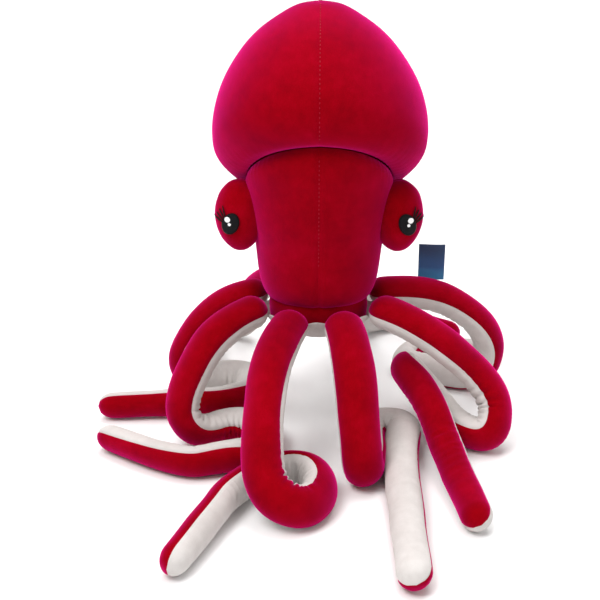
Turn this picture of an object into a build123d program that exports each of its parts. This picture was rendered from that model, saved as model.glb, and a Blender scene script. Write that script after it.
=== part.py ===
"""A stuffed octopus toy: a round mantle over a narrower face, two eye pods and eight arms.

The origin is the centre of the flat underside that the toy sits on, +Z up, the face towards -Y.
The arms drape over the edge of the seat, run down to the floor around it and curl there.
"""
import math
import os

from build123d import *

# cloth
CLOTH = 1.2             # thickness of the velour, pile included
GAP = 0.5               # clearance between two bodies that turn on each other
EASE = 0.05             # clearance between an arm's cloth and its filling

# seat and crown
SEAT_R = 40.0           # outside of the crown, where the arms are sewn on
SEAT_H = 30.0           # height of the crown's edge above the seat
FLOOR_DROP = 88.0       # how far below the seat the floor is
NECK_Z = 20.0           # height of the point that the head nods about
NECK_R = 34.0           # ball of filling that carries the head

# head
HEAD_BOTTOM = 44.0
HEAD_PROFILE = [(44, HEAD_BOTTOM), (50, 70), (57, 100), (62, 130), (65, 168)]  # radius, height
BROW_Z = 120.0          # height of the point that the mantle nods about
BROW_R = 50.0           # ball of filling under the mantle
BROW_TILT = 31.5        # the seam under the mantle is higher in front
BROW_SLACK = 10.0       # loose cloth at that seam, as a gap between the fillings

# mantle
MANTLE_PROFILE = [(0, 259), (48, 240), (75, 204), (85, 163), (76, 122), (50, 74)]
MANTLE_CROWN = 230.0    # above this height the cloth lies more flat than upright

# eye pods
POD_X, POD_Y, POD_Z = 64.0, -15.0, 96.0     # centre of the flat side that is sewn to the face
POD_R, POD_H = 18.5, 26.0
EYE_W, EYE_H = 12.0, 16.0
EYE_X = 8.0             # the eye's centre, outwards from the pod's
EYE_TURN = 12.0         # the tops of the eyes lean outwards
THREAD = 0.7            # how far embroidery stands up

# arms
ROOT_OUT = 7.5          # the arms' roots stand out from the crown's edge by this
ROOT_R = SEAT_R + ROOT_OUT
ROOT_Z = 18.0
UPPER_R = 14.0
LOWER_R = 12.0
SKIN_START = 4.0        # where an arm's cloth begins, past its root's centre
ELBOW_EASE = 0.308
# bare filling on each side of an elbow, where the cloth folds: enough to clear the ball in it
ELBOW_SLACK = ELBOW_EASE + math.sqrt((UPPER_R - CLOTH + GAP) ** 2 - (LOWER_R - CLOTH + EASE) ** 2)
BEND_MAX = 60.0

UPPER_FLOOR = UPPER_R - FLOOR_DROP
LOWER_FLOOR = LOWER_R - FLOOR_DROP

# Each arm: the angle of its root from the front, the points of its upper part, which ends at the
# elbow, and the points of its lower part, which starts there and whose last point is the tip.
ARMS = {
    "front_left": (-22.5, [
        (-36, -88, 13), (-41, -154, -40), (-34, -177, -62), (-8, -179, UPPER_FLOOR),
        (6, -148, UPPER_FLOOR), (-8, -116, UPPER_FLOOR), (-43, -127, UPPER_FLOOR),
        (-66, -160, UPPER_FLOOR), (-71, -176, UPPER_FLOOR)],
        [(-95, -243, LOWER_FLOOR)]),
    "front_right": (22.5, [
        (27, -84, 14), (34, -139, UPPER_FLOOR), (40, -92, UPPER_FLOOR), (40, -47, UPPER_FLOOR),
        (73, -45, UPPER_FLOOR), (68, -78, UPPER_FLOOR)],
        [(63, -125, LOWER_FLOOR), (62, -255, LOWER_FLOOR)]),
    "left_front": (-67.5, [
        (-80, -40, 15), (-114, -66, -46), (-101, -70, UPPER_FLOOR), (-70, -44, UPPER_FLOOR),
        (-38, -58, UPPER_FLOOR), (-50, -98, UPPER_FLOOR), (-74, -105, UPPER_FLOOR)],
        [(-108, -114, LOWER_FLOOR), (-178, -66, LOWER_FLOOR)]),
    "right_front": (67.5, [
        (76, -38, 18), (147, -46, -40), (143, -72, UPPER_FLOOR), (114, -52, UPPER_FLOOR),
        (100, -8, -64), (68, -4, -34), (91, -56, -45)],
        [(104, -112, LOWER_FLOOR), (113, -190, LOWER_FLOOR)]),
    "left_back": (-112.5, [
        (-80, 26, 16), (-128, 24, -44), (-112, 34, UPPER_FLOOR), (-72, 52, UPPER_FLOOR),
        (-52, 18, UPPER_FLOOR), (-80, -8, UPPER_FLOOR), (-118, -9, UPPER_FLOOR)],
        [(-192, -16, LOWER_FLOOR)]),
    "right_back": (112.5, [
        (92, 26, 24), (156, 28, -16), (154, 48, UPPER_FLOOR), (110, 62, UPPER_FLOOR),
        (80, 80, UPPER_FLOOR), (98, 118, UPPER_FLOOR), (124, 118, UPPER_FLOOR)],
        [(184, 115, LOWER_FLOOR)]),
    "back_left": (-157.5, [
        (-50, 82, 16), (-72, 132, -38), (-76, 168, UPPER_FLOOR), (-112, 172, UPPER_FLOOR),
        (-114, 136, UPPER_FLOOR)],
        [(-104, 84, LOWER_FLOOR)]),
    "back_right": (157.5, [
        (36, 92, 16), (46, 146, -38), (48, 184, UPPER_FLOOR), (80, 206, UPPER_FLOOR),
        (106, 192, UPPER_FLOOR)],
        [(148, 158, LOWER_FLOOR)]),
}

# label
LABEL_W, LABEL_H, LABEL_T = 23.0, 32.0, 0.8
LABEL_X, LABEL_Z = 100.0, 24.0
LABEL_ARM_Y = 26.5      # the middle of the arm that the label is sewn to, under the label


def turn_at(points, i):
    """The angle in degrees that a route turns by at one of its points."""
    before = Vector(*points[i]) - Vector(*points[i - 1])
    after = Vector(*points[i + 1]) - Vector(*points[i])
    return before.get_angle(after)


def bend_radii(points):
    """One radius for each corner of a route, as large as its runs leave room for."""
    runs = [(Vector(*b) - Vector(*a)).length for a, b in zip(points, points[1:])]
    runs[0] -= ELBOW_SLACK
    runs[-1] -= ELBOW_SLACK
    half = [math.tan(math.radians(turn_at(points, i) / 2)) for i in range(1, len(points) - 1)]
    cuts = [BEND_MAX * h for h in half]
    for _ in range(20):
        for i, run in enumerate(runs):
            ends = [k for k in (i - 1, i) if 0 <= k < len(cuts)]
            used = sum(cuts[k] for k in ends)
            if used > 0.96 * run:
                for k in ends:
                    cuts[k] *= 0.96 * run / used
    return [cut / h for cut, h in zip(cuts, half)]


def route(points, radii):
    """Straight runs joined by tangent arcs."""
    if len(points) == 2:
        return Line(*points)
    return FilletPolyline(*points, radius=radii)


def tube(points, radii, radius):
    """A round tube of filling along a route."""
    with BuildPart() as piece:
        with BuildLine() as path:
            route(points, radii)
        with BuildSketch(Plane(origin=path.line @ 0, z_dir=path.line % 0)):
            Circle(radius)
        sweep(path=path.line)
    return piece.part


def half_skin(points, radii, radius, side):
    """Half of the cloth round a tube: side 1 is the back of the arm, -1 its sole."""
    with BuildPart() as piece:
        with BuildLine() as path:
            route(points, radii)
        ahead = path.line % 0
        across = Vector(0, 0, 1).cross(ahead).normalized()
        with BuildSketch(Plane(origin=path.line @ 0, x_dir=across, z_dir=ahead)) as ring:
            Circle(radius)
            Circle(radius - CLOTH + EASE, mode=Mode.SUBTRACT)
            with Locations((0, side * -radius)):
                Rectangle(4 * radius, 2 * radius, mode=Mode.SUBTRACT)
        sweep(path=path.line)
    return piece.part


def along(start, towards, distance):
    """The point that is a distance from start in the direction of another point."""
    step = (Vector(*towards) - Vector(*start)).normalized() * distance
    return tuple(Vector(*start) + step)


def finish(piece, name):
    """Labels a finished piece and writes it."""
    piece.label = name
    export_step(piece, f"parts/{name}.step")


os.makedirs("parts", exist_ok=True)

roots = {}
for arm, (angle, upper, lower) in ARMS.items():
    out = math.radians(angle)
    roots[arm] = (ROOT_R * math.sin(out), -ROOT_R * math.cos(out), ROOT_Z)

# ---------------------------------------------------------------- crown that the arms are sewn to
with BuildPart() as base_fill:
    with BuildSketch(Plane.XY.offset(CLOTH)):
        Circle(SEAT_R - CLOTH)
    extrude(amount=SEAT_H - 2 * CLOTH)
    with Locations((0, 0, NECK_Z)):
        Sphere(NECK_R)
    with BuildSketch(Plane.XY.offset(CLOTH)):
        Circle(2 * SEAT_R)
    extrude(amount=-2 * SEAT_R, mode=Mode.SUBTRACT)
    with Locations(*roots.values()):
        Sphere(UPPER_R - CLOTH + GAP, mode=Mode.SUBTRACT)
finish(base_fill.part, "base_fill")

with BuildPart() as base_crown:
    with BuildSketch(Plane.XY.offset(CLOTH)):
        Circle(SEAT_R)
        Circle(SEAT_R - CLOTH, mode=Mode.SUBTRACT)
    extrude(amount=SEAT_H - CLOTH)
    with BuildSketch(Plane.XY.offset(SEAT_H - CLOTH)):
        Circle(SEAT_R - CLOTH)
    extrude(amount=CLOTH)
    with Locations((0, 0, NECK_Z)):
        Sphere(NECK_R, mode=Mode.SUBTRACT)
    with Locations(*roots.values()):
        Sphere(UPPER_R + GAP, mode=Mode.SUBTRACT)
finish(base_crown.part, "base_crown")

with BuildPart() as base_underside:
    with BuildSketch():
        Circle(SEAT_R)
    extrude(amount=CLOTH)
finish(base_underside.part, "base_underside")

# ---------------------------------------------------------------- head and mantle
brow = Plane(origin=(0, 0, BROW_Z), z_dir=(0, math.sin(math.radians(BROW_TILT)),
                                           math.cos(math.radians(BROW_TILT))))
ROOM = 300.0            # larger than any piece, for cutting away one side of a plane


def revolved(profile, grow=0.0):
    """A round solid about Z whose side is a smooth curve, grown outwards."""
    points = [(radius + grow if radius else 0, height) for radius, height in profile]
    low, high = min(h for _, h in points), max(h for _, h in points)
    with BuildPart() as piece:
        with BuildSketch(Plane.XZ):
            with BuildLine():
                side = Spline(*points)
                ends = sorted([side @ 0, side @ 1], key=lambda p: p.Y)
                if ends[1].X > 0:
                    Line(ends[1], (0, high))
                Line((0, high), (0, low))
                Line((0, low), ends[0])
            make_face()
        revolve(axis=Axis.Z)
    return piece.part


with BuildPart() as head_fill:
    add(revolved(HEAD_PROFILE))
    with BuildSketch(brow.offset(-BROW_SLACK / 2)):
        Circle(ROOM)
    extrude(amount=ROOM, mode=Mode.SUBTRACT)
    with Locations((0, 0, BROW_Z)):
        Sphere(BROW_R)
    with Locations((0, 0, NECK_Z)):
        Sphere(NECK_R + GAP, mode=Mode.SUBTRACT)
finish(head_fill.part, "head_fill")

with BuildPart() as face_panels:
    add(revolved(HEAD_PROFILE, CLOTH))
    add(revolved(HEAD_PROFILE), mode=Mode.SUBTRACT)
    with BuildSketch(brow.offset(-BROW_SLACK / 2)):
        Circle(ROOM)
    extrude(amount=ROOM, mode=Mode.SUBTRACT)
    split(bisect_by=Plane.YZ, keep=Keep.BOTH)
finish(face_panels.part, "face_panels")

# the filling's profile is the cloth's moved in by the cloth, and down near the crown
INNER_PROFILE = [(max(radius - CLOTH, 0), height - CLOTH * (height > MANTLE_CROWN))
                 for radius, height in MANTLE_PROFILE]
shells = {}
for layer, profile in (("cloth", MANTLE_PROFILE), ("filling", INNER_PROFILE)):
    with BuildPart() as whole:
        add(revolved(profile))
        with BuildSketch(brow.offset(BROW_SLACK / 2)):
            Circle(ROOM)
        extrude(amount=-ROOM, mode=Mode.SUBTRACT)
    shells[layer] = whole.part

with BuildPart() as mantle_fill:
    add(shells["filling"])
    with Locations((0, 0, BROW_Z)):
        Sphere(BROW_R + GAP, mode=Mode.SUBTRACT)
finish(mantle_fill.part, "mantle_fill")

for name, keep in (("mantle_left_panel", Keep.BOTTOM), ("mantle_right_panel", Keep.TOP)):
    with BuildPart() as panel:
        add(shells["cloth"])
        add(shells["filling"], mode=Mode.SUBTRACT)
        split(bisect_by=Plane.YZ, keep=keep)
    finish(panel.part, name)

# ---------------------------------------------------------------- eye pods and their embroidery


def pod_shape(grow):
    """The left pod about its own centre: half an egg standing on end, flat where it is sewn on."""
    width, height = POD_R + grow, POD_H + grow
    turns = [math.radians(angle) for angle in range(-90, 91, 45)]
    with BuildPart() as piece:
        with BuildSketch(Plane.YZ):
            with BuildLine():
                Spline(*[(width * math.cos(turn), height * math.sin(turn)) for turn in turns],
                       tangents=[(1, 0), (-1, 0)])
                Line((0, height), (0, -height))
            make_face()
        revolve(axis=Axis.Z, revolution_arc=180)
    return piece.part


def stitched(outline, grow):
    """A patch of thread on the left pod's front, where an outline drawn from the front meets it."""
    with BuildPart() as piece:
        with BuildSketch(Plane.XZ):
            for (x, z), (width, height), turn in outline:
                with Locations(Location((-x, z), -turn)):
                    Ellipse(width / 2, height / 2)
        extrude(amount=2 * POD_R)
        add(pod_shape(grow), mode=Mode.INTERSECT)
        add(pod_shape(0), mode=Mode.SUBTRACT)
    return piece.part


EYE = [((EYE_X, 0), (EYE_W, EYE_H), -EYE_TURN)]
LASHES = [((EYE_X + 4.0 + 1.6 * i, 9.8 - 1.8 * i), (1.4, 6.0), -20.0 - 15.0 * i) for i in range(3)]
GLINTS = [((EYE_X - 0.6, 3.6), (4.6, 5.4), 0.0), ((EYE_X - 1.6, -1.6), (3.0, 3.2), 0.0)]

with BuildPart() as patch:
    add(stitched(EYE + LASHES, THREAD))
    add(stitched(GLINTS, 2 * THREAD), mode=Mode.SUBTRACT)

for name, piece in (("eye_pods", pod_shape(0)), ("eye_embroidery", patch.part),
                    ("eye_highlights", stitched(GLINTS, 2 * THREAD))):
    with BuildPart() as pair:
        add(piece.moved(Location((-POD_X, POD_Y, POD_Z))))
        mirror(about=Plane.YZ)
    finish(pair.part, name)

# ---------------------------------------------------------------- arms
for arm, (angle, upper, lower) in ARMS.items():
    root, elbow = roots[arm], upper[-1]
    fill_r, low_r = UPPER_R - CLOTH, LOWER_R - CLOTH
    upper_points = [root] + upper
    lower_points = [elbow] + lower
    # the round end is centred short of the tip
    lower_points[-1] = along(lower_points[-1], lower_points[-2], LOWER_R)
    last = lower_points[1:]

    upper_bends, lower_bends = bend_radii(upper_points), bend_radii(lower_points)

    with BuildPart() as upper_fill:
        add(tube(upper_points, upper_bends, fill_r))
        with Locations(root, elbow):
            Sphere(fill_r)
    finish(upper_fill.part, f"arm_{arm}_upper_fill")

    with BuildPart() as lower_fill:
        add(tube([along(elbow, last[0], CLOTH)] + last, lower_bends, low_r))
        with Locations(last[-1]):
            Sphere(low_r)
        with Locations(elbow):
            Sphere(fill_r + GAP, mode=Mode.SUBTRACT)
    finish(lower_fill.part, f"arm_{arm}_lower_fill")

    sewn = [along(root, upper[0], SKIN_START)] + upper[:-1] + [along(elbow, upper[-2], ELBOW_SLACK)]
    loose = [along(elbow, last[0], ELBOW_SLACK)] + last
    for side, panel in ((1, "back"), (-1, "sole")):
        finish(half_skin(sewn, upper_bends, UPPER_R, side), f"arm_{arm}_upper_{panel}")
        finish(half_skin(loose, lower_bends, LOWER_R, side), f"arm_{arm}_lower_{panel}")

    with BuildLine() as whole_route:
        route(upper_points, upper_bends)
        route(lower_points, lower_bends)
    print(arm, "length", round(sum(edge.length for edge in whole_route.edges()) + LOWER_R),
          "bends", [round(bend, 1) for bend in upper_bends + lower_bends])

# ---------------------------------------------------------------- label
LABEL_Y = LABEL_ARM_Y + UPPER_R + GAP
with BuildPart() as label:
    with BuildSketch(Plane.XY.offset(LABEL_Z)):
        with Locations((LABEL_X, LABEL_Y + LABEL_T / 2)):
            Rectangle(LABEL_W, LABEL_T)
    extrude(amount=LABEL_H)
finish(label.part, "label")
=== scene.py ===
"""A stuffed octopus toy in red and white velour, dressed over its fixed frame."""
import math

import bmesh
import bpy
import numpy as np
from mathutils import Euler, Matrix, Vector, noise


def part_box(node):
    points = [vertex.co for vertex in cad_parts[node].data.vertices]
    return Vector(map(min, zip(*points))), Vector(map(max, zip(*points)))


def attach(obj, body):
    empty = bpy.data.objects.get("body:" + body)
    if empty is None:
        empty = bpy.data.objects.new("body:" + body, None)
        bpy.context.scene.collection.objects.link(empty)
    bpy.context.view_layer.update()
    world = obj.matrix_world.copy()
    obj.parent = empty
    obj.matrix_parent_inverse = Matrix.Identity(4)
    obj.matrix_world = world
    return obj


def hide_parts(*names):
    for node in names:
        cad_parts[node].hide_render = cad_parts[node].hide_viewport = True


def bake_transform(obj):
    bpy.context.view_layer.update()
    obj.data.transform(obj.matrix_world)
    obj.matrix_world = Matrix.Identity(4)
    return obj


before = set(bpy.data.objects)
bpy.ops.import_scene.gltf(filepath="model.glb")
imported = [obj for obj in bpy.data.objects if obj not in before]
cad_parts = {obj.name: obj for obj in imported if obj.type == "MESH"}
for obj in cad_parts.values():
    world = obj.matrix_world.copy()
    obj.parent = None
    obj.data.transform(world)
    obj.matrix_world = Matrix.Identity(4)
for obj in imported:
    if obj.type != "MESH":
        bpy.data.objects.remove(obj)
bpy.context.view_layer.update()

MM = 0.001
CLOTH = 1.2 * MM
FLOOR_Z = -88 * MM          # the surface that the toy's stand is on
ROOT_R, ROOT_Z = 47.5, 18.0
UPPER_FLOOR, LOWER_FLOOR = -74.0, -76.0
STEP = 2.2 * MM             # length of cloth between two rings of an arm
ROUND = 44                  # points round an arm
ELBOW_HALF = 20 * MM        # cloth each side of an elbow that bends with it

# Each arm: root angle from the front, upper route, lower route, and where its red back faces at
# some shares of its length, or None where it isn't twisted. The routes are in millimetres, as in
# the frame.
ARMS = {
    "front_left": (-22.5, [
        (-36, -88, 13), (-41, -154, -40), (-34, -177, -62), (-8, -179, UPPER_FLOOR),
        (6, -148, UPPER_FLOOR), (-8, -116, UPPER_FLOOR), (-43, -127, UPPER_FLOOR),
        (-66, -160, UPPER_FLOOR), (-71, -176, UPPER_FLOOR)],
        [(-95, -243, LOWER_FLOOR)],
        [(0.08, None), (0.24, (-0.50, -0.80, 0.2)), (0.42, None), (0.75, (-0.95, 0.3, 0.1))]),
    "front_right": (22.5, [
        (27, -84, 14), (34, -139, UPPER_FLOOR), (40, -92, UPPER_FLOOR), (40, -47, UPPER_FLOOR),
        (73, -45, UPPER_FLOOR), (68, -78, UPPER_FLOOR)],
        [(63, -125, LOWER_FLOOR), (62, -255, LOWER_FLOOR)],
        [(0.40, None), (0.62, (0.35, 0, -0.93))]),
    "left_front": (-67.5, [
        (-80, -40, 15), (-114, -66, -46), (-101, -70, UPPER_FLOOR), (-70, -44, UPPER_FLOOR),
        (-38, -58, UPPER_FLOOR), (-50, -98, UPPER_FLOOR), (-74, -105, UPPER_FLOOR)],
        [(-108, -114, LOWER_FLOOR), (-178, -66, LOWER_FLOOR)],
        [(0.45, None), (0.68, (0.1, -0.86, -0.40)), (1, (0.1, -0.75, -0.6))]),
    "right_front": (67.5, [
        (76, -38, 18), (147, -46, -40), (143, -72, UPPER_FLOOR), (114, -52, UPPER_FLOOR),
        (100, -8, -64), (68, -4, -34), (91, -56, -45)],
        [(104, -112, LOWER_FLOOR), (113, -190, LOWER_FLOOR)],
        [(0.48, None), (0.66, (-0.55, -0.25, 0.8))]),
    "left_back": (-112.5, [
        (-80, 26, 16), (-128, 24, -44), (-112, 34, UPPER_FLOOR), (-72, 52, UPPER_FLOOR),
        (-52, 18, UPPER_FLOOR), (-80, -8, UPPER_FLOOR), (-118, -9, UPPER_FLOOR)],
        [(-192, -16, LOWER_FLOOR)],
        [(0.45, None), (0.7, (0.1, -0.93, -0.25))]),
    "right_back": (112.5, [
        (92, 26, 24), (156, 28, -16), (154, 48, UPPER_FLOOR), (110, 62, UPPER_FLOOR),
        (80, 80, UPPER_FLOOR), (98, 118, UPPER_FLOOR), (124, 118, UPPER_FLOOR)],
        [(184, 115, LOWER_FLOOR)],
        [(0.5, None), (0.8, (0, -0.6, -0.8))]),
    "back_left": (-157.5, [
        (-50, 82, 16), (-72, 132, -38), (-76, 168, UPPER_FLOOR), (-112, 172, UPPER_FLOOR),
        (-114, 136, UPPER_FLOOR)],
        [(-104, 84, LOWER_FLOOR)],
        [(0.5, None), (1, (-0.5, 0, 0.8))]),
    "back_right": (157.5, [
        (36, 92, 16), (46, 146, -38), (48, 184, UPPER_FLOOR), (80, 206, UPPER_FLOOR),
        (106, 192, UPPER_FLOOR)],
        [(148, 158, LOWER_FLOOR)],
        [(0.5, None), (1, (0.2, 0.6, 0.8))]),
}


# ---------------------------------------------------------------- materials
def nodes_of(material):
    """A cleared node tree with its shader and output, and a short way to add nodes."""
    material.use_nodes = True
    tree = material.node_tree
    tree.nodes.clear()
    out = tree.nodes.new("ShaderNodeOutputMaterial")
    shader = tree.nodes.new("ShaderNodeBsdfPrincipled")
    tree.links.new(shader.outputs["BSDF"], out.inputs["Surface"])
    return tree, shader


def noise_node(tree, coords, scale, detail=3.0, rough=0.55):
    node = tree.nodes.new("ShaderNodeTexNoise")
    node.inputs["Scale"].default_value = scale
    node.inputs["Detail"].default_value = detail
    node.inputs["Roughness"].default_value = rough
    tree.links.new(coords, node.inputs["Vector"])
    return node.outputs["Fac"]


def ramp_node(tree, fac, stops):
    node = tree.nodes.new("ShaderNodeValToRGB")
    ramp = node.color_ramp
    while len(ramp.elements) < len(stops):
        ramp.elements.new(0.5)
    for element, (place, color) in zip(ramp.elements, stops):
        element.position = place
        element.color = (*color, 1)
    tree.links.new(fac, node.inputs["Fac"])
    return node.outputs["Color"]


def math_node(tree, operation, a, b):
    node = tree.nodes.new("ShaderNodeMath")
    node.operation = operation
    for socket, value in zip(node.inputs, (a, b)):
        if isinstance(value, (int, float)):
            socket.default_value = value
        else:
            tree.links.new(value, socket)
    return node.outputs[0]


def velour(name, dark, middle, light, sheen, tint):
    """Short-pile velour: brushed patches of lighter and darker pile over a fine fibre grain."""
    material = bpy.data.materials.new(name)
    tree, shader = nodes_of(material)
    coords = tree.nodes.new("ShaderNodeTexCoord").outputs["Object"]
    brushed = noise_node(tree, coords, 26.0, 4.0, 0.6)
    strokes = noise_node(tree, coords, 120.0, 3.0, 0.6)
    pile = noise_node(tree, coords, 1500.0, 2.0, 0.5)
    mixed = math_node(tree, "ADD", math_node(tree, "MULTIPLY", brushed, 0.62),
                      math_node(tree, "MULTIPLY", strokes, 0.38))
    mixed = math_node(tree, "ADD", math_node(tree, "MULTIPLY", mixed, 0.86),
                      math_node(tree, "MULTIPLY", pile, 0.14))
    color = ramp_node(tree, mixed, [(0.30, dark), (0.52, middle), (0.74, light)])
    tree.links.new(color, shader.inputs["Base Color"])
    bump = tree.nodes.new("ShaderNodeBump")
    bump.inputs["Strength"].default_value = 0.28
    bump.inputs["Distance"].default_value = 0.0006
    height = math_node(tree, "ADD", math_node(tree, "MULTIPLY", pile, 0.75),
                       math_node(tree, "MULTIPLY", strokes, 0.45))
    tree.links.new(height, bump.inputs["Height"])
    tree.links.new(bump.outputs["Normal"], shader.inputs["Normal"])
    shader.inputs["Roughness"].default_value = 0.92
    shader.inputs["Specular IOR Level"].default_value = 0.02
    shader.inputs["Sheen Weight"].default_value = sheen
    shader.inputs["Sheen Roughness"].default_value = 0.42
    shader.inputs["Sheen Tint"].default_value = (*tint, 1)
    return material


def thread(name, color, roughness):
    """Embroidery floss: fine parallel stitches with a soft gloss."""
    material = bpy.data.materials.new(name)
    tree, shader = nodes_of(material)
    coords = tree.nodes.new("ShaderNodeTexCoord").outputs["Object"]
    wave = tree.nodes.new("ShaderNodeTexWave")
    wave.bands_direction = "X"
    wave.inputs["Scale"].default_value = 420.0
    wave.inputs["Distortion"].default_value = 1.4
    tree.links.new(coords, wave.inputs["Vector"])
    lift = [min(1.0, value * 1.25 + 0.004) for value in color]
    tree.links.new(ramp_node(tree, wave.outputs["Fac"], [(0.0, color), (1.0, lift)]),
                   shader.inputs["Base Color"])
    bump = tree.nodes.new("ShaderNodeBump")
    bump.inputs["Strength"].default_value = 0.5
    bump.inputs["Distance"].default_value = 0.0003
    tree.links.new(wave.outputs["Fac"], bump.inputs["Height"])
    tree.links.new(bump.outputs["Normal"], shader.inputs["Normal"])
    shader.inputs["Roughness"].default_value = roughness
    shader.inputs["Specular IOR Level"].default_value = 0.15
    return material


def satin():
    """A woven satin label, navy above and light blue below, with no lettering."""
    material = bpy.data.materials.new("woven_satin")
    tree, shader = nodes_of(material)
    coords = tree.nodes.new("ShaderNodeTexCoord").outputs["Object"]
    split = tree.nodes.new("ShaderNodeSeparateXYZ")
    tree.links.new(coords, split.inputs["Vector"])
    low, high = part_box("label")
    rise = math_node(tree, "DIVIDE", math_node(tree, "SUBTRACT", split.outputs["Z"], low[2]),
                     high[2] - low[2])
    rise = math_node(tree, "ADD", rise, math_node(tree, "MULTIPLY",
                     noise_node(tree, coords, 90.0), 0.12))
    tree.links.new(ramp_node(tree, rise, [(0.12, (0.05, 0.32, 0.62)), (0.42, (0.02, 0.10, 0.28)),
                                          (0.9, (0.008, 0.035, 0.11))]), shader.inputs["Base Color"])
    wave = tree.nodes.new("ShaderNodeTexWave")
    wave.bands_direction = "Z"
    wave.inputs["Scale"].default_value = 700.0
    tree.links.new(coords, wave.inputs["Vector"])
    bump = tree.nodes.new("ShaderNodeBump")
    bump.inputs["Strength"].default_value = 0.25
    bump.inputs["Distance"].default_value = 0.0002
    tree.links.new(wave.outputs["Fac"], bump.inputs["Height"])
    tree.links.new(bump.outputs["Normal"], shader.inputs["Normal"])
    shader.inputs["Roughness"].default_value = 0.38
    return material


RED = velour("red_velour_cloth", (0.18, 0.0, 0.0004), (0.255, 0.0, 0.0018), (0.34, 0.0004, 0.008),
             1.0, (1.0, 0.02, 0.36))
WHITE = velour("white_velour_cloth", (0.50, 0.465, 0.445), (0.58, 0.545, 0.525), (0.66, 0.63, 0.61),
               0.15, (1.0, 0.97, 0.96))
BLACK = thread("black_floss", (0.002, 0.002, 0.003), 0.7)
WHITE_FLOSS = thread("white_floss", (0.86, 0.86, 0.86), 0.4)
RED_FLOSS = thread("red_floss", (0.30, 0.003, 0.015), 0.6)
SATIN = satin()


# ---------------------------------------------------------------- meshes
def add_object(name, verts, faces, material, sharp=()):
    """A smooth-shaded mesh object at the origin, sharp along the edges it is told of."""
    mesh = bpy.data.meshes.new(name)
    mesh.from_pydata([tuple(v) for v in verts], [], faces)
    mesh.update()
    mesh.materials.append(material)
    mesh.polygons.foreach_set("use_smooth", [True] * len(mesh.polygons))
    if sharp:
        keys = {tuple(sorted(pair)) for pair in sharp}
        for edge in mesh.edges:
            if tuple(sorted(edge.vertices)) in keys:
                edge.use_edge_sharp = True
    obj = bpy.data.objects.new(name, mesh)
    bpy.context.collection.objects.link(obj)
    return obj


def cloth_panel(name, outer, inner, material):
    """A closed piece of cloth between two grids of points, outer side first."""
    rows, cols = outer.shape[:2]
    count = rows * cols
    verts = np.concatenate([outer.reshape(-1, 3), inner.reshape(-1, 3)])
    faces, sharp = [], []

    def at(r, c, layer=0):
        return layer * count + r * cols + c

    for r in range(rows - 1):
        for c in range(cols - 1):
            faces.append((at(r, c), at(r, c + 1), at(r + 1, c + 1), at(r + 1, c)))
            faces.append((at(r, c, 1), at(r + 1, c, 1), at(r + 1, c + 1, 1), at(r, c + 1, 1)))
    rim = [(0, c) for c in range(cols)] + [(r, cols - 1) for r in range(1, rows)]
    rim += [(rows - 1, c) for c in range(cols - 2, -1, -1)] + [(r, 0) for r in range(rows - 2, 0, -1)]
    for a, b in zip(rim, rim[1:] + rim[:1]):
        faces.append((at(*b), at(*a), at(*a, 1), at(*b, 1)))
        sharp += [(at(*a), at(*b)), (at(*a, 1), at(*b, 1))]
    obj = add_object(name, verts, faces, material, sharp)
    return tidy(obj)


def tidy(obj):
    """Merges points that meet, as at a pole, and drops the faces that this leaves flat."""
    bm = bmesh.new()
    bm.from_mesh(obj.data)
    bmesh.ops.remove_doubles(bm, verts=bm.verts, dist=1e-6)
    bmesh.ops.dissolve_degenerate(bm, edges=bm.edges, dist=1e-7)
    bmesh.ops.recalc_face_normals(bm, faces=bm.faces)
    bm.to_mesh(obj.data)
    bm.free()
    obj.data.update()
    return obj


def smooth_route(points):
    """Evenly spaced points along the smooth curve that a route's points control."""
    points = np.array(points, float) * MM
    dense = [points[0]]
    ends = len(points) - 2
    for i in range(1, ends + 1):
        a = points[0] if i == 1 else (points[i - 1] + points[i]) / 2
        b = points[-1] if i == ends else (points[i] + points[i + 1]) / 2
        for t in np.linspace(0, 1, 41)[1:]:
            dense.append((1 - t) ** 2 * a + 2 * t * (1 - t) * points[i] + t ** 2 * b)
    dense = np.array(dense)
    run = np.r_[0, np.cumsum(np.linalg.norm(np.diff(dense, axis=0), axis=1))]
    count = max(int(run[-1] / STEP), 4)
    even = np.linspace(0, run[-1], count + 1)
    return np.stack([np.interp(even, run, dense[:, k]) for k in range(3)], axis=1), even


def carried_frames(line, up):
    """A side and a back direction at each point, carried along the line without twisting."""
    ahead = np.gradient(line, axis=0)
    ahead /= np.linalg.norm(ahead, axis=1)[:, None]
    back = up - ahead[0] * (up @ ahead[0])
    backs = []
    for direction in ahead:
        back = back - direction * (back @ direction)
        back /= np.linalg.norm(back)
        backs.append(back)
    backs = np.array(backs)
    return ahead, np.cross(ahead, backs), backs


def twist_along(keys, share, sides, backs):
    """How far the section has turned at each ring, so that the back faces where its keys say."""
    turns = []
    for place, facing in keys:
        i = int(np.argmin(np.abs(share - place)))
        facing = backs[i] if facing is None else np.array(facing)
        turns.append(math.atan2(-facing @ sides[i], facing @ backs[i]))
    turns = np.unwrap(turns)
    places = [place for place, _ in keys]
    twist = np.interp(share, places, turns)
    kernel = np.hanning(21)
    return np.convolve(np.pad(twist, 10, mode="edge"), kernel / kernel.sum(), mode="valid")


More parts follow.
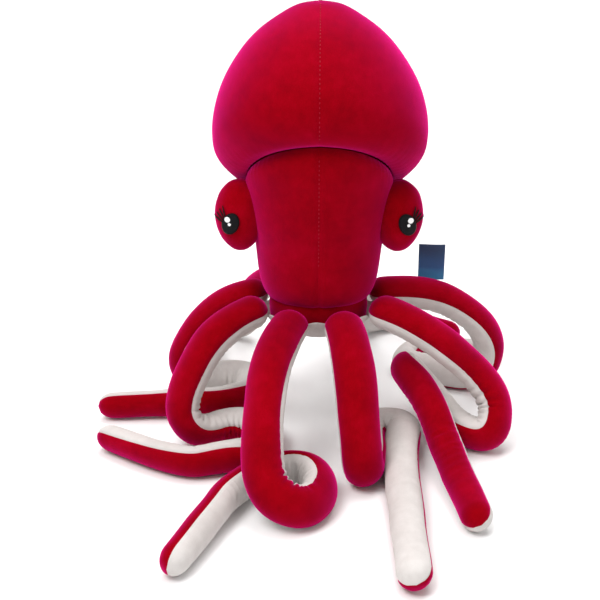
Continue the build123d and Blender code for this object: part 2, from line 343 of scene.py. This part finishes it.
def arm_surface(arm):
    """The arm's rings of outside and inside cloth, and where along it the elbow is."""
    angle, upper, lower, facing = ARMS[arm]
    out = math.radians(angle)
    root = (ROOT_R * math.sin(out), -ROOT_R * math.cos(out), ROOT_Z)
    line, run = smooth_route([root] + upper + lower)
    ahead, sides, backs = carried_frames(line, np.array([0.0, 0.0, 1.0]))
    elbow = np.array(upper[-1]) * MM
    at_elbow = int(np.argmin(np.linalg.norm(line - elbow, axis=1)))
    length = run[-1]
    share = run / length

    # the section: wide and rather flat near the root, rounder and thinner towards the tip
    width = np.interp(share, [0, 0.10, 0.45, 0.75, 1], [15.6, 16.6, 15.2, 13.2, 11.6]) * MM
    thick = np.interp(share, [0, 0.10, 0.45, 0.75, 1], [13.4, 13.8, 13.0, 11.4, 10.2]) * MM
    tip = np.clip((length - run) / (13 * MM), 0, 1)
    close = np.sqrt(np.clip(1 - (1 - tip) ** 2, 0, 1))
    start = np.clip(run / (12 * MM), 0, 1)
    close *= np.sqrt(np.clip(1 - (1 - start) ** 2, 0, 1)) * 0.9 + 0.1 * start
    bend = np.gradient(ahead, axis=0) / np.gradient(run)[:, None]
    for _ in range(3):
        bend[1:-1] = (bend[:-2] + bend[1:-1] * 2 + bend[2:]) / 4
    tightness = np.linalg.norm(bend, axis=1)
    inward = bend / np.maximum(tightness, 1e-6)[:, None]
    twist = twist_along(facing, share, sides, backs)
    seed = Vector((hash_of(arm), 3.1, 7.7))

    rings = np.zeros((len(line), ROUND + 1, 3))
    insides = np.zeros_like(rings)
    for i, centre in enumerate(line):
        for k in range(ROUND + 1):
            around = 2 * math.pi * k / ROUND
            c, s = math.cos(around + twist[i]), math.sin(around + twist[i])
            normal = sides[i] * c + backs[i] * s
            reach = width[i] * thick[i] / math.hypot(thick[i] * math.cos(around),
                                                     width[i] * math.sin(around))
            # the two seams draw the cloth in
            seam = min(abs(math.sin(around)) * reach / (2.2 * MM), 1.0)
            reach -= 1.1 * MM * (1 - seam) ** 2
            # cloth crumples into sharp folds on the inside of a bend
            inner = max(0.0, float(normal @ inward[i])) * min(tightness[i] * 0.034, 1.0)
            phase = run[i] / (7.5 * MM) + 0.9 * noise.noise(seed + Vector(centre * 60))
            fold = abs(math.sin(math.pi * phase + 0.7 * math.cos(around * 2)))
            reach -= inner * (3.4 * MM * (1 - fold) ** 2 - 0.6 * MM)
            # stuffing is a little uneven
            reach += 0.7 * MM * noise.noise(seed + Vector((centre + normal * 0.01) * 38))
            reach *= close[i]
            rings[i, k] = centre + normal * reach
            insides[i, k] = centre + normal * max(reach - CLOTH, reach * 0.3)
    for grid in (rings, insides):
        grid[:, :, 2] = np.maximum(grid[:, :, 2], FLOOR_Z + 0.0004)
    return rings, insides, line, at_elbow


def hash_of(word):
    """A small number that differs from arm to arm."""
    return sum((i + 1) * ord(letter) for i, letter in enumerate(word)) % 97


def make_arm(arm):
    """One arm: back and sole, each in an upper, an elbow and a lower length."""
    rings, insides, line, at_elbow = arm_surface(arm)
    upper, lower = f"arm_{arm}_upper", f"arm_{arm}_lower"
    half = int(ELBOW_HALF / STEP)
    cuts = [0, at_elbow - half, at_elbow + half, len(line) - 1]
    panels = {"back": (slice(0, ROUND // 2 + 1), RED, "red_velour"),
              "sole": (slice(ROUND // 2, ROUND + 1), WHITE, "white_velour")}
    for panel, (cols, material, slot) in panels.items():
        for part, a, b in (("upper", cuts[0], cuts[1]), ("elbow", cuts[1], cuts[2]),
                           ("lower", cuts[2], cuts[3])):
            rows = slice(a, b + 1)
            piece = cloth_panel(f"arm_{arm}_{part}_{panel}_cloth", rings[rows, cols],
                                insides[rows, cols], material)
            if part == "elbow":
                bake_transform(piece)
                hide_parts(f"{lower}_{panel}")
            elif part == "upper":
                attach(piece, upper)
                nodes = [f"{upper}_{panel}"] + ([f"{upper}_fill"] if panel == "back" else [])
                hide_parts(*nodes)
            else:
                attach(piece, lower)
                if panel == "back":
                    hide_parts(f"{lower}_fill")


for name in ARMS:
    make_arm(name)


# ---------------------------------------------------------------- head and mantle
BROW_Z = 120 * MM
TILT = math.radians(31.5)
FACE = [(30, 16), (38, 21), (44.5, 29), (48.5, 39), (50.5, 51), (53, 74), (57.5, 96), (61.5, 122),
        (64, 140), (64, 172)]
MANTLE = [(0.01, 261), (16, 258.5), (31, 251), (48, 239), (62, 224), (75, 204), (82.5, 184),
          (85.5, 163), (83, 141), (75, 121), (64, 105), (56, 92), (50, 78)]


def curve_through(points, count):
    """Evenly spaced points on a smooth curve through some radii and heights."""
    points = np.array(points, float)
    padded = np.vstack([2 * points[0] - points[1], points, 2 * points[-1] - points[-2]])
    dense = []
    for i in range(len(points) - 1):
        p0, p1, p2, p3 = padded[i:i + 4]
        for t in np.linspace(0, 1, 24, endpoint=False):
            dense.append(0.5 * (2 * p1 + (p2 - p0) * t + (2 * p0 - 5 * p1 + 4 * p2 - p3) * t ** 2
                                + (3 * p1 - p0 - 3 * p2 + p3) * t ** 3))
    dense.append(points[-1])
    dense = np.array(dense)
    run = np.r_[0, np.cumsum(np.linalg.norm(np.diff(dense, axis=0), axis=1))]
    even = np.linspace(0, run[-1], count)
    return np.stack([np.interp(even, run, dense[:, k]) for k in range(2)], axis=1) * MM


def seam_height(x, y):
    """Height of the seam under the mantle: high over the brow, low behind."""
    return BROW_Z - math.tan(TILT) * y


def radius_at(profile, height):
    heights, radii = profile[:, 1], profile[:, 0]
    order = np.argsort(heights)
    return float(np.interp(height, heights[order], radii[order]))


face_curve = curve_through(FACE, 120)
mantle_curve = curve_through(MANTLE, 160)
AROUND = 96                 # points round half of the head


def seam_point(angle, profile):
    """Where the seam's slanting plane meets a round profile, at one angle from the front."""
    height = BROW_Z
    for _ in range(40):
        radius = radius_at(profile, height)
        target = seam_height(0, -radius * math.cos(angle))
        height += 0.5 * (target - height)
    return radius_at(profile, height), height


def head_grid(side, which):
    """Half of the face or of the mantle: rows from the seam on, columns round from the front."""
    rows = 64 if which == "face" else 84
    grid = np.zeros((rows, AROUND + 1, 3))
    for k in range(AROUND + 1):
        angle = math.pi * k / AROUND
        seam_r, seam_z = seam_point(angle, face_curve)
        seam_r -= 1.5 * MM
        for r in range(rows):
            t = r / (rows - 1)
            if which == "face":
                height = seam_z + (face_curve[0, 1] - seam_z) * t
                radius = radius_at(face_curve, height)
                near = (seam_z - height) / (9 * MM)
                radius -= 3.5 * MM * max(0.0, 1 - near) ** 2
                if t > 0.9:
                    radius *= 1 - 0.5 * ((t - 0.9) / 0.1) ** 2
            else:
                top = mantle_curve[0, 1]
                start = seam_z + 1.0 * MM
                lift = math.sin(t * math.pi / 2)
                height = start + (top - start) * (0.35 * t + 0.65 * lift)
                full = radius_at(mantle_curve, height)
                near = (height - start) / ((24 + 26 * max(0.0, math.cos(angle))) * MM)
                roll = math.sqrt(max(0.0, 1 - (1 - min(near, 1)) ** 2))
                radius = seam_r + (full - seam_r) * roll
                if r == rows - 1:
                    radius = 0.0
            # puckers where the mantle is gathered on to the face
            gather = math.exp(-((angle - 1.15) / 0.75) ** 2)
            close = math.exp(-max(0.0, (seam_z - height if which == "face" else height - seam_z))
                             / (7 * MM))
            radius -= 1.3 * MM * gather * close * (0.5 + 0.5 * math.sin(angle * 74))
            # the seam down the middle draws the cloth in
            middle = min(angle, math.pi - angle) * radius
            radius -= 1.4 * MM * math.exp(-(middle / (2.6 * MM)) ** 2)
            x, y = side * radius * math.sin(angle), -radius * math.cos(angle)
            swell = noise.noise(Vector((x * 14, y * 14, height * 14 + 5)))
            soft = 1 + (0.016 * swell if which == "mantle" else 0.010 * swell)
            grid[r, k] = (x * soft, y * soft, height)
    return grid


def inset(grid, centre_z):
    """The cloth's inner side: the same grid moved in towards the head's axis."""
    centre = np.array([0, 0, centre_z])
    away = grid - centre
    away[:, :, 2] *= 0.6
    length = np.linalg.norm(away, axis=2, keepdims=True)
    return grid - away / np.maximum(length, 1e-6) * CLOTH


def stitch_line(name, points, normals, spacing, body, material, size=(0.0013, 0.00035)):
    """A row of short stitches along a line, laid by Geometry Nodes and made a plain mesh."""
    curve = bpy.data.curves.new(name + "_line", "CURVE")
    curve.dimensions = "3D"
    spline = curve.splines.new("POLY")
    spline.points.add(len(points) - 1)
    for point, place, normal in zip(spline.points, points, normals):
        point.co = (*(Vector(place) + Vector(normal) * size[1] * 0.5), 1)
    obj = bpy.data.objects.new(name, curve)
    bpy.context.collection.objects.link(obj)
    tree = bpy.data.node_groups.new(name + "_stitches", "GeometryNodeTree")
    face = tree.interface
    face.new_socket("Geometry", in_out="INPUT", socket_type="NodeSocketGeometry")
    gap = face.new_socket("Spacing", in_out="INPUT", socket_type="NodeSocketFloat")
    long = face.new_socket("Stitch length", in_out="INPUT", socket_type="NodeSocketFloat")
    wide = face.new_socket("Thread radius", in_out="INPUT", socket_type="NodeSocketFloat")
    face.new_socket("Geometry", in_out="OUTPUT", socket_type="NodeSocketGeometry")
    new = tree.nodes.new
    source, result = new("NodeGroupInput"), new("NodeGroupOutput")
    along = new("GeometryNodeCurveToPoints")
    along.mode = "LENGTH"
    thread_line = new("GeometryNodeCurvePrimitiveLine")
    thread_line.mode = "DIRECTION"
    thread_line.inputs["Direction"].default_value = (0, 0, 1)
    ring = new("GeometryNodeCurvePrimitiveCircle")
    ring.inputs["Resolution"].default_value = 6
    stitch = new("GeometryNodeCurveToMesh")
    stitch.inputs["Fill Caps"].default_value = True
    on_points = new("GeometryNodeInstanceOnPoints")
    real = new("GeometryNodeRealizeInstances")
    paint = new("GeometryNodeSetMaterial")
    paint.inputs["Material"].default_value = material
    link = tree.links.new
    link(source.outputs["Geometry"], along.inputs["Curve"])
    link(source.outputs["Spacing"], along.inputs["Length"])
    link(source.outputs["Stitch length"], thread_line.inputs["Length"])
    link(source.outputs["Thread radius"], ring.inputs["Radius"])
    link(thread_line.outputs["Curve"], stitch.inputs["Curve"])
    link(ring.outputs["Curve"], stitch.inputs["Profile Curve"])
    link(along.outputs["Points"], on_points.inputs["Points"])
    link(along.outputs["Rotation"], on_points.inputs["Rotation"])
    link(stitch.outputs["Mesh"], on_points.inputs["Instance"])
    link(on_points.outputs["Instances"], real.inputs["Geometry"])
    link(real.outputs["Geometry"], paint.inputs["Geometry"])
    link(paint.outputs["Geometry"], result.inputs["Geometry"])
    modifier = obj.modifiers.new("stitches", "NODES")
    modifier.node_group = tree
    modifier[gap.identifier] = spacing
    modifier[long.identifier] = size[0]
    modifier[wide.identifier] = size[1]
    graph = bpy.context.evaluated_depsgraph_get()
    mesh = bpy.data.meshes.new_from_object(obj.evaluated_get(graph))
    mesh.materials.clear()
    mesh.materials.append(material)
    bpy.data.objects.remove(obj)
    piece = bpy.data.objects.new(name, mesh)
    bpy.context.collection.objects.link(piece)
    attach(piece, body)
    return piece


for side, word in ((-1, "left"), (1, "right")):
    grid = head_grid(side, "mantle")
    if side < 0:
        grid = grid[:, ::-1]
    panel = cloth_panel(f"mantle_{word}_cloth", grid, inset(grid, 0.165), RED)
    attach(panel, "mantle")
    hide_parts(f"mantle_{word}_panel", *(["mantle_fill"] if side < 0 else []))

    grid = head_grid(side, "face")
    if side > 0:
        grid = grid[:, ::-1]
    panel = cloth_panel(f"face_{word}_cloth", grid, inset(grid, 0.1), RED)
    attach(panel, "head")
    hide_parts("face_panels", *(["head_fill"] if side < 0 else []))

for which, body in (("mantle", "mantle"), ("face", "head")):
    grid = head_grid(1, which)
    rows = grid[4:-6 if which == "mantle" else -22, 0]
    stitch_line(f"{which}_seam_stitches", rows, [(0, -1, 0.2)] * len(rows), 0.0034, body,
                RED_FLOSS)


# ---------------------------------------------------------------- crown and underside
def crown():
    """The round cushion that the arms are sewn to, red above and white under the seat."""
    profile = curve_through([(30, 47), (37, 40), (40.5, 31), (42, 20), (41, 8), (38, 1.2)], 30)
    grid = np.zeros((len(profile), 2 * AROUND + 1, 3))
    for r, (radius, height) in enumerate(profile):
        for k in range(2 * AROUND + 1):
            angle = math.pi * k / AROUND
            lobe = 1 + 0.02 * math.cos(8 * angle + math.pi)
            grid[r, k] = (radius * lobe * math.sin(angle), -radius * lobe * math.cos(angle), height)
    return grid


grid = crown()[:, ::-1]
piece = cloth_panel("crown_cloth", grid, inset(grid, 0.02), RED)
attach(piece, "base")
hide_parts("base_crown", "base_fill")


def underside():
    """The white webbing under the toy, drawn in towards the middle of the seat."""
    radii = np.linspace(0.0, 52 * MM, 28)
    grid = np.zeros((len(radii), 2 * AROUND + 1, 3))
    for r, radius in enumerate(radii):
        for k in range(2 * AROUND + 1):
            angle = math.pi * k / AROUND
            web = 0.5 + 0.5 * math.cos(8 * angle)
            reach = radius * (1 - 0.10 * (1 - web) * (radius / 0.052) ** 2)
            out = max(0.0, radius - 40 * MM)
            height = 0.2 * MM + out * (0.9 + 0.5 * web) + 0.0004 * noise.noise(
                Vector((reach * 200, angle * 4, 1)))
            grid[r, k] = (reach * math.sin(angle), -reach * math.cos(angle), height)
    return grid


grid = underside()
piece = cloth_panel("underside_cloth", grid, grid + np.array([0, 0, CLOTH]), WHITE)
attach(piece, "base")
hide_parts("base_underside")


# ---------------------------------------------------------------- eye pods
POD = np.array([63.5, -15, 97]) * MM
POD_SIZE = np.array([20.5, 19.5, 29.5]) * MM


def pod_point(side, across, up, lift=0.0):
    """A point on a pod's front over an offset from its centre, lifted off the cloth."""
    size = POD_SIZE + lift
    room = 1 - (across / size[0]) ** 2 - (up / size[2]) ** 2
    return (side * (POD[0] + across), POD[1] - size[1] * math.sqrt(max(room, 0.0)), POD[2] + up)


def make_pod(side, word):
    """A stuffed lobe sewn to the side of the face, with a seam round its edge."""
    rows, cols = 40, 64
    grid = np.zeros((rows + 1, cols + 1, 3))
    for r in range(rows + 1):
        tilt = math.pi * r / rows
        for k in range(cols + 1):
            angle = 2 * math.pi * k / cols
            x, y, z = (math.sin(tilt) * math.cos(angle), math.sin(tilt) * math.sin(angle),
                       math.cos(tilt))
            fat = 1 - 0.03 * math.exp(-(y / 0.10) ** 2)
            fat += 0.02 * noise.noise(Vector((x * 2.2, y * 2.2, z * 2.2 + side)))
            top = 1 + 0.05 * z
            grid[r, k] = (side * (POD[0] + POD_SIZE[0] * x * fat * top),
                          POD[1] + POD_SIZE[1] * y * fat * 0.92, POD[2] + POD_SIZE[2] * z * fat)
    centre = np.array([side * POD[0], POD[1], POD[2]])
    inner = centre + (grid - centre) * 0.94
    if side > 0:
        grid, inner = grid[::-1], inner[::-1]
    pod = cloth_panel(f"eye_pod_{word}_cloth", grid, inner, RED)
    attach(pod, "head")
    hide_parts("eye_pods")


def patch(name, side, centre, size, turn, lift, material):
    """An oval of satin stitch on a pod's front."""
    rings, around = 10, 36
    verts = [pod_point(side, centre[0], centre[1], lift)]
    for r in range(1, rings + 1):
        for k in range(around):
            angle = 2 * math.pi * k / around
            x, z = size[0] * r / rings * math.cos(angle), size[1] * r / rings * math.sin(angle)
            c, s = math.cos(math.radians(turn)), math.sin(math.radians(turn))
            edge = lift if r < rings else -0.0004
            verts.append(pod_point(side, centre[0] + x * c + z * s, centre[1] - x * s + z * c,
                                   edge))
    faces = [(0, 1 + (k + 1) % around, 1 + k) for k in range(around)]
    for r in range(rings - 1):
        for k in range(around):
            a, b = 1 + r * around + k, 1 + r * around + (k + 1) % around
            faces.append((a, b, b + around, a + around))
    last = 1 + (rings - 1) * around
    faces.append(tuple(last + k for k in range(around)))
    return add_object(name, verts, faces, material)


def join(name, pieces):
    """One mesh of several patches, with its normals facing outwards."""
    bm = bmesh.new()
    for piece in pieces:
        bm.from_mesh(piece.data)
    bmesh.ops.recalc_face_normals(bm, faces=bm.faces)
    mesh = pieces[0].data.copy()
    bm.to_mesh(mesh)
    bm.free()
    for piece in pieces:
        bpy.data.objects.remove(piece)
    obj = bpy.data.objects.new(name, mesh)
    bpy.context.collection.objects.link(obj)
    return obj


EYE_X, EYE_Z = 6.5 * MM, -3.5 * MM
EYE_TURN = -26              # degrees
EYE_LIFT, LASH_LIFT, GLINT_LIFT = 0.8 * MM, 0.7 * MM, 1.3 * MM    # off the pod's cloth
for side, word in ((-1, "left"), (1, "right")):
    make_pod(side, word)
    eye = patch("eye", side, (EYE_X, EYE_Z), (6.9 * MM, 9.6 * MM), EYE_TURN, EYE_LIFT,
                BLACK)
    lashes = [patch("lash", side, (EYE_X + (5.2 + 1.6 * i) * MM, EYE_Z + (9.8 - 2.3 * i) * MM),
                    (0.5 * MM, 4.6 * MM), 14 + 17 * i, LASH_LIFT, BLACK)
              for i in range(4)]
    eye = join(f"eye_{word}_embroidery", [eye] + lashes)
    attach(eye, "head")
    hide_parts("eye_embroidery")
    glints = [patch("glint", side, (EYE_X + 2.2 * MM, EYE_Z + 3.9 * MM), (2.5 * MM, 2.4 * MM), 0,
                    GLINT_LIFT, WHITE_FLOSS),
              patch("glint", side, (EYE_X + 0.7 * MM, EYE_Z + 0.1 * MM), (1.4 * MM, 1.3 * MM), 0,
                    GLINT_LIFT, WHITE_FLOSS)]
    glints = join(f"eye_{word}_highlights", glints)
    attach(glints, "head")
    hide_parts("eye_highlights")


# ---------------------------------------------------------------- label
def make_label():
    """The satin label, rippled a little and held by its sewn edge."""
    low, high = (np.array(corner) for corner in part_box("label"))
    rows, cols = 26, 20
    verts_front = np.zeros((rows + 1, cols + 1, 3))
    for r in range(rows + 1):
        for k in range(cols + 1):
            u, v = k / cols, r / rows
            wave = 1.0 * MM * math.sin(3.2 * u + 2.4 * v) * v
            verts_front[r, k] = (low[0] + (high[0] - low[0]) * u, low[1] + wave + 0.002 * v,
                                 low[2] + (high[2] - low[2]) * v)
    back = verts_front + np.array([0, 0.5 * MM, 0])
    piece = cloth_panel("satin_label", verts_front, back, SATIN)
    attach(piece, "label")
    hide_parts("label")


make_label()


# ---------------------------------------------------------------- floor, light and camera
def stage():
    """A pale floor that curves up behind the toy."""
    mesh = bpy.data.meshes.new("floor")
    wide, deep, high, curve = 3.0, 1.4, 2.6, 0.8
    profile = [(-3.0, 0.0), (deep - curve, 0.0)]
    profile += [(deep - curve + curve * math.sin(a), curve - curve * math.cos(a))
                for a in np.linspace(0, math.pi / 2, 16)[1:]]
    profile.append((deep, high))
    verts, faces = [], []
    for y, z in profile:
        verts += [(-wide, y, FLOOR_Z + z), (wide, y, FLOOR_Z + z)]
    for i in range(len(profile) - 1):
        faces.append((2 * i, 2 * i + 1, 2 * i + 3, 2 * i + 2))
    mesh.from_pydata(verts, [], faces)
    mesh.polygons.foreach_set("use_smooth", [True] * len(faces))
    floor = bpy.data.objects.new("floor", mesh)
    bpy.context.collection.objects.link(floor)
    material = bpy.data.materials.new("pale_floor")
    tree, shader = nodes_of(material)
    shader.inputs["Base Color"].default_value = (0.93, 0.93, 0.93, 1)
    shader.inputs["Roughness"].default_value = 0.8
    mesh.materials.append(material)


def area_light(name, place, target, size, power, color=(1, 1, 1)):
    light = bpy.data.lights.new(name, "AREA")
    light.shape = "SQUARE"
    light.size = size
    light.energy = power
    light.color = color
    obj = bpy.data.objects.new(name, light)
    obj.location = place
    obj.rotation_euler = (Vector(target) - Vector(place)).to_track_quat("-Z", "Y").to_euler()
    bpy.context.collection.objects.link(obj)


stage()
area_light("key", (-0.6, -0.7, 1.35), (0, 0, 0.1), 0.8, 19)
area_light("fill", (1.2, -0.8, 0.7), (0, 0, 0.05), 1.0, 2.5)
area_light("top", (0.15, 0.25, 1.5), (0, 0, 0.1), 1.1, 17)
world = bpy.data.worlds.new("studio")
world.use_nodes = True
world.node_tree.nodes["Background"].inputs["Color"].default_value = (1, 1, 1, 1)
world.node_tree.nodes["Background"].inputs["Strength"].default_value = 0.5
bpy.context.scene.world = world
bpy.context.scene.view_settings.view_transform = "Standard"

camera = bpy.data.cameras.new("camera")
camera.sensor_width = 36
camera.lens = 53.46
eye = bpy.data.objects.new("camera", camera)
eye.location = (0, -0.714, 0.277)
eye.rotation_euler = Euler((math.radians(90 - 19.9), 0, math.radians(1.25)))
bpy.context.collection.objects.link(eye)
bpy.context.scene.camera = eye
